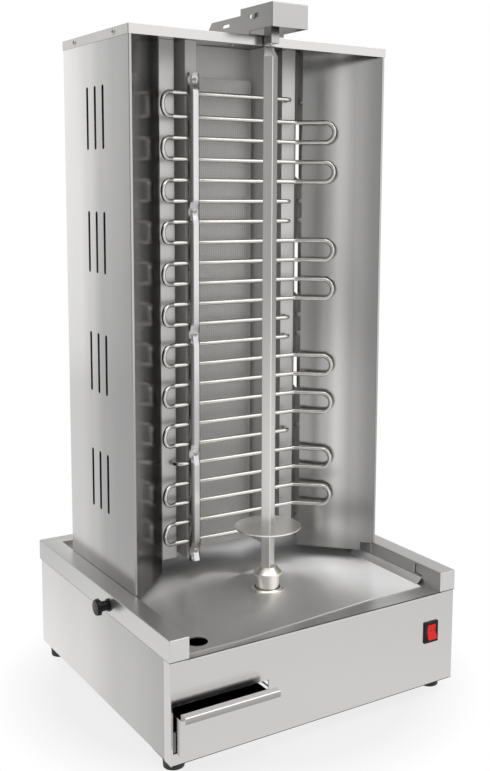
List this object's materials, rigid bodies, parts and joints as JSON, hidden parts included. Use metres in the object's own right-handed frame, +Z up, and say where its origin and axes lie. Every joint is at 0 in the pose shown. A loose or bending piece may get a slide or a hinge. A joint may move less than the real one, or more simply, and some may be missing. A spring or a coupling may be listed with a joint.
{
  "type": "doner kebab grill",
  "caption": "Countertop electric doner kebab grill: stainless base with drip tray and drawer, sliding tower with four heater zones, motor-driven spit.",
  "frame": {"origin": "on the ground under the middle of the whole grill's bounding box", "axes": "+X to the operator's right, +Y to the back, +Z up along the spit"},
  "size_m": [0.49, 0.485, 0.984],
  "materials": {
    "stainless": "brushed stainless sheet",
    "reflector": "brushed stainless sheet, a little darker",
    "bright_steel": "turned and polished stainless",
    "spit_steel": "ground stainless bar",
    "heater_steel": "satin heating tube",
    "fibre": "grey ceramic fibre behind fine mesh",
    "zinc": "zinc plated fasteners and brackets",
    "gear_housing": "die-cast gearbox and motor can",
    "bronze": "sintered bronze bushes",
    "black_rubber": "matt rubber",
    "black_plastic": "moulded, satin",
    "red_plastic": "translucent red, glossy",
    "white_ceramic": "terminal block"
  },
  "bodies": {
    "base": {"tray_cover": "stainless", "drip_pan": "stainless", "drain_spout": "stainless", "base_case": "stainless", "front_panel": "stainless", "base_floor": "zinc", "rubber_feet": "black_rubber", "foot_bolts": "zinc", "foot_nuts": "zinc", "motor_bracket": "zinc", "gear_motor": "gear_housing", "motor_screws": "zinc", "lower_bearing": "bronze", "deck_ring": "bright_steel", "shaft_seal": "black_rubber", "drawer_rails": "zinc", "switch_body": "black_plastic", "switch_terminals": "zinc", "clamp_washer": "zinc", "clamp_nut": "zinc", "cable_gland": "black_plastic", "terminal_block": "white_ceramic"},
    "spit": {"drive_shaft": "spit_steel", "spit_socket": "bright_steel", "spit_rod": "spit_steel", "meat_disc": "bright_steel"},
    "drawer": {"drawer_front": "stainless", "drawer_tray": "stainless", "drawer_rivets": "zinc"},
    "rocker": {"rocker_button": "red_plastic"},
    "knob": {"clamp_knob": "black_plastic", "clamp_screw": "zinc"},
    "tower": {"side_panel_left": "stainless", "side_panel_right": "stainless", "back_cover": "stainless", "tower_runners": "stainless", "reflector_left": "reflector", "reflector_right": "reflector", "heater_plate_left": "reflector", "heater_plate_right": "reflector", "recess_back": "reflector", "fibre_board": "fibre", "tube_rests": "reflector", "terminal_box": "stainless", "clamp_strips": "reflector", "strip_screws": "zinc", "heater_zone_1": "heater_steel", "heater_zone_2": "heater_steel", "heater_zone_3": "heater_steel", "heater_zone_4": "heater_steel", "tube_nuts": "zinc", "roof_cap": "stainless", "roof_screws": "zinc", "top_arm": "stainless", "arm_bolts": "zinc"},
    "carriage": {"carriage_plate": "spit_steel", "bearing_block": "spit_steel", "upper_bush": "bronze", "carriage_bolts": "zinc", "carriage_screws": "zinc"}
  },
  "joints": [
    {"name": "spit_turn", "type": "hinge", "parent": "base", "child": "spit", "pos_m": [0.01, -0.0645, 0.25], "axis": [0, 0, 1], "continuous": true},
    {"name": "tower_slide", "type": "slide", "parent": "base", "child": "tower", "axis": [0, 1, 0], "range_m": [0, 0.01]},
    {"name": "carriage_slide", "type": "slide", "parent": "tower", "child": "carriage", "axis": [0, -1, 0], "range_m": [0, 0.01]},
    {"name": "drawer_slide", "type": "slide", "parent": "base", "child": "drawer", "axis": [0, -1, 0], "range_m": [-0.02, 0.15]},
    {"name": "rocker_tilt", "type": "hinge", "parent": "base", "child": "rocker", "pos_m": [0.201, -0.2105, 0.097], "axis": [1, 0, 0], "range_deg": [0, 16]},
    {"name": "knob_turn", "type": "hinge", "parent": "base", "child": "knob", "pos_m": [-0.225, -0.0265, 0.167], "axis": [1, 0, 0], "range_deg": [0, 360]}
  ],
  "couplings": [
    {"joint": "carriage_slide", "follows": "tower_slide", "ratio": 1}
  ]
}
